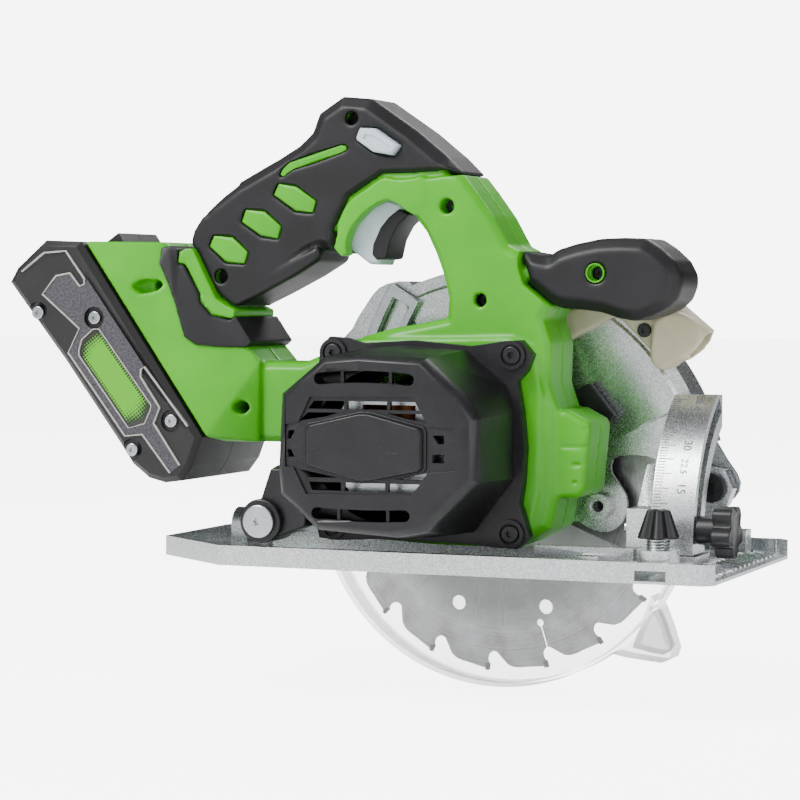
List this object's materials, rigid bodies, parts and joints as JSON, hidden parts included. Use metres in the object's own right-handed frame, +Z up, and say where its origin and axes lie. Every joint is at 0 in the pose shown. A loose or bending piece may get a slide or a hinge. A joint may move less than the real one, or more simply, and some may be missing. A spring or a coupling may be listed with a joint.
{
  "type": "cordless circular saw",
  "caption": "Cordless circular saw with tilting, depth-adjusting base, sprung lower guard, two handles and a slide-on battery.",
  "frame": {"origin": "on the underside of the sole, midway along it, in the middle of the strip under the motor", "axes": "+X the cutting direction, +Y from the motor to the blade, +Z up"},
  "size_m": [0.3338, 0.158, 0.264],
  "materials": {
    "cast_aluminium": "bead blasted casting",
    "steel": "bright zinc plated or ground",
    "green_plastic": "moulded nylon, satin",
    "rubber": "soft overmould, matt",
    "black_plastic": "moulded nylon, satin",
    "ivory_plastic": "moulded, smooth",
    "pale_plastic": "moulded, smooth",
    "clear_plastic": "clear polycarbonate",
    "battery_plastic": "moulded, satin",
    "copper": "lacquered winding",
    "cell_wrap": "shrink sleeve"
  },
  "bodies": {
    "base": {"base_plate": "cast_aluminium", "bevel_quadrant": "cast_aluminium", "front_hinge_pin": "steel", "rear_hinge_pin": "steel"},
    "fence_clamp": {"fence_clamp_knob": "black_plastic"},
    "tilt_frame": {"front_tilt_bracket": "cast_aluminium", "rear_tilt_bracket": "steel", "depth_bracket": "steel", "depth_pivot_screw": "steel"},
    "bevel_clamp": {"bevel_knob": "black_plastic"},
    "saw_unit": {"housing_right": "green_plastic", "housing_left": "green_plastic", "grip_overmould": "rubber", "boot_overmould": "rubber", "front_handle_overmould": "rubber", "trigger_switch": "black_plastic", "motor_end_cover": "black_plastic", "cover_badge": "black_plastic", "cover_screw_1": "steel", "cover_screw_2": "steel", "cover_screw_3": "steel", "cover_screw_4": "steel", "arm_boss_screw": "steel", "motor_can": "steel", "rotor_rear_bearing": "steel", "rotor_front_bearing": "steel", "spindle_rear_bearing": "steel", "spindle_front_bearing": "steel", "gear_case": "cast_aluminium", "upper_guard": "cast_aluminium", "dust_port": "ivory_plastic", "dust_port_screw": "steel", "terminal_block": "black_plastic"},
    "spindle": {"spindle": "steel", "spindle_gear": "steel", "blade": "steel", "inner_flange": "steel", "outer_flange": "steel", "blade_bolt": "steel"},
    "rotor": {"armature": "copper", "commutator": "copper", "rotor_shaft": "steel", "cooling_fan": "black_plastic", "pinion": "steel"},
    "lower_guard": {"lower_guard": "clear_plastic", "guard_lever": "black_plastic"},
    "trigger": {"trigger": "pale_plastic"},
    "lock_off": {"lock_off_button": "pale_plastic"},
    "spindle_lock": {"spindle_lock_lever": "black_plastic"},
    "depth_clamp": {"depth_lever": "black_plastic"},
    "battery": {"battery_case_right": "battery_plastic", "battery_case_left": "battery_plastic", "battery_label": "green_plastic", "battery_cell_1": "cell_wrap", "battery_cell_2": "cell_wrap", "battery_cell_3": "cell_wrap", "battery_cell_4": "cell_wrap", "battery_cell_5": "cell_wrap"},
    "battery_latch": {"battery_latch": "black_plastic"}
  },
  "joints": [
    {"name": "fence_knob_turn", "type": "hinge", "parent": "base", "child": "fence_clamp", "pos_m": [0.1047, -0.012, 0.02], "axis": [0, 0, 1], "continuous": true},
    {"name": "bevel_tilt", "type": "hinge", "parent": "base", "child": "tilt_frame", "pos_m": [0, 0.085, 0.009], "axis": [-1, 0, 0], "range_deg": [0, 50]},
    {"name": "bevel_knob_turn", "type": "hinge", "parent": "tilt_frame", "child": "bevel_clamp", "pos_m": [0.12, 0.01504, 0.01921], "axis": [1, 0, 0], "continuous": true},
    {"name": "depth_swing", "type": "hinge", "parent": "tilt_frame", "child": "saw_unit", "pos_m": [0.1125, 0.055, 0.0353], "axis": [0, 1, 0], "range_deg": [0, 26.5]},
    {"name": "depth_lever_turn", "type": "hinge", "parent": "saw_unit", "child": "depth_clamp", "pos_m": [-0.0551, 0.045, 0.0353], "axis": [0, 1, 0], "range_deg": [0, 30]},
    {"name": "spindle_spin", "type": "hinge", "parent": "saw_unit", "child": "spindle", "pos_m": [0.00925, 0.064, 0.02956], "axis": [0, 1, 0], "continuous": true},
    {"name": "rotor_spin", "type": "hinge", "parent": "saw_unit", "child": "rotor", "pos_m": [-0.005, -0.004, 0.0548], "axis": [0, 1, 0], "continuous": true},
    {"name": "guard_swing", "type": "hinge", "parent": "saw_unit", "child": "lower_guard", "pos_m": [0.00925, 0.065, 0.02956], "axis": [0, 1, 0], "range_deg": [0, 90], "stiffness_Nm_per_rad": 0.1, "springref_deg": -45.84},
    {"name": "trigger_pull", "type": "hinge", "parent": "saw_unit", "child": "trigger", "pos_m": [-0.0245, 0.024, 0.1555], "axis": [0, 1, 0], "range_deg": [0, 12], "stiffness_Nm_per_rad": 0.3, "springref_deg": -5.73},
    {"name": "lock_off_slide", "type": "slide", "parent": "saw_unit", "child": "lock_off", "axis": [0, 1, 0], "range_m": [0, 0.004], "stiffness_N_per_m": 300, "springref_m": -0.002},
    {"name": "spindle_lock_slide", "type": "slide", "parent": "saw_unit", "child": "spindle_lock", "axis": [-0.7709, 0, -0.6369], "range_m": [0, 0.003], "stiffness_N_per_m": 400, "springref_m": -0.002},
    {"name": "battery_slide", "type": "slide", "parent": "saw_unit", "child": "battery", "axis": [-0.571, 0, 0.821], "range_m": [0, 0.085]},
    {"name": "latch_press", "type": "slide", "parent": "battery", "child": "battery_latch", "axis": [0.571, 0, -0.821], "range_m": [0, 0.0025], "stiffness_N_per_m": 400, "springref_m": -0.002}
  ],
  "couplings": [
    {"joint": "rotor_spin", "follows": "spindle_spin", "ratio": -4.8}
  ]
}
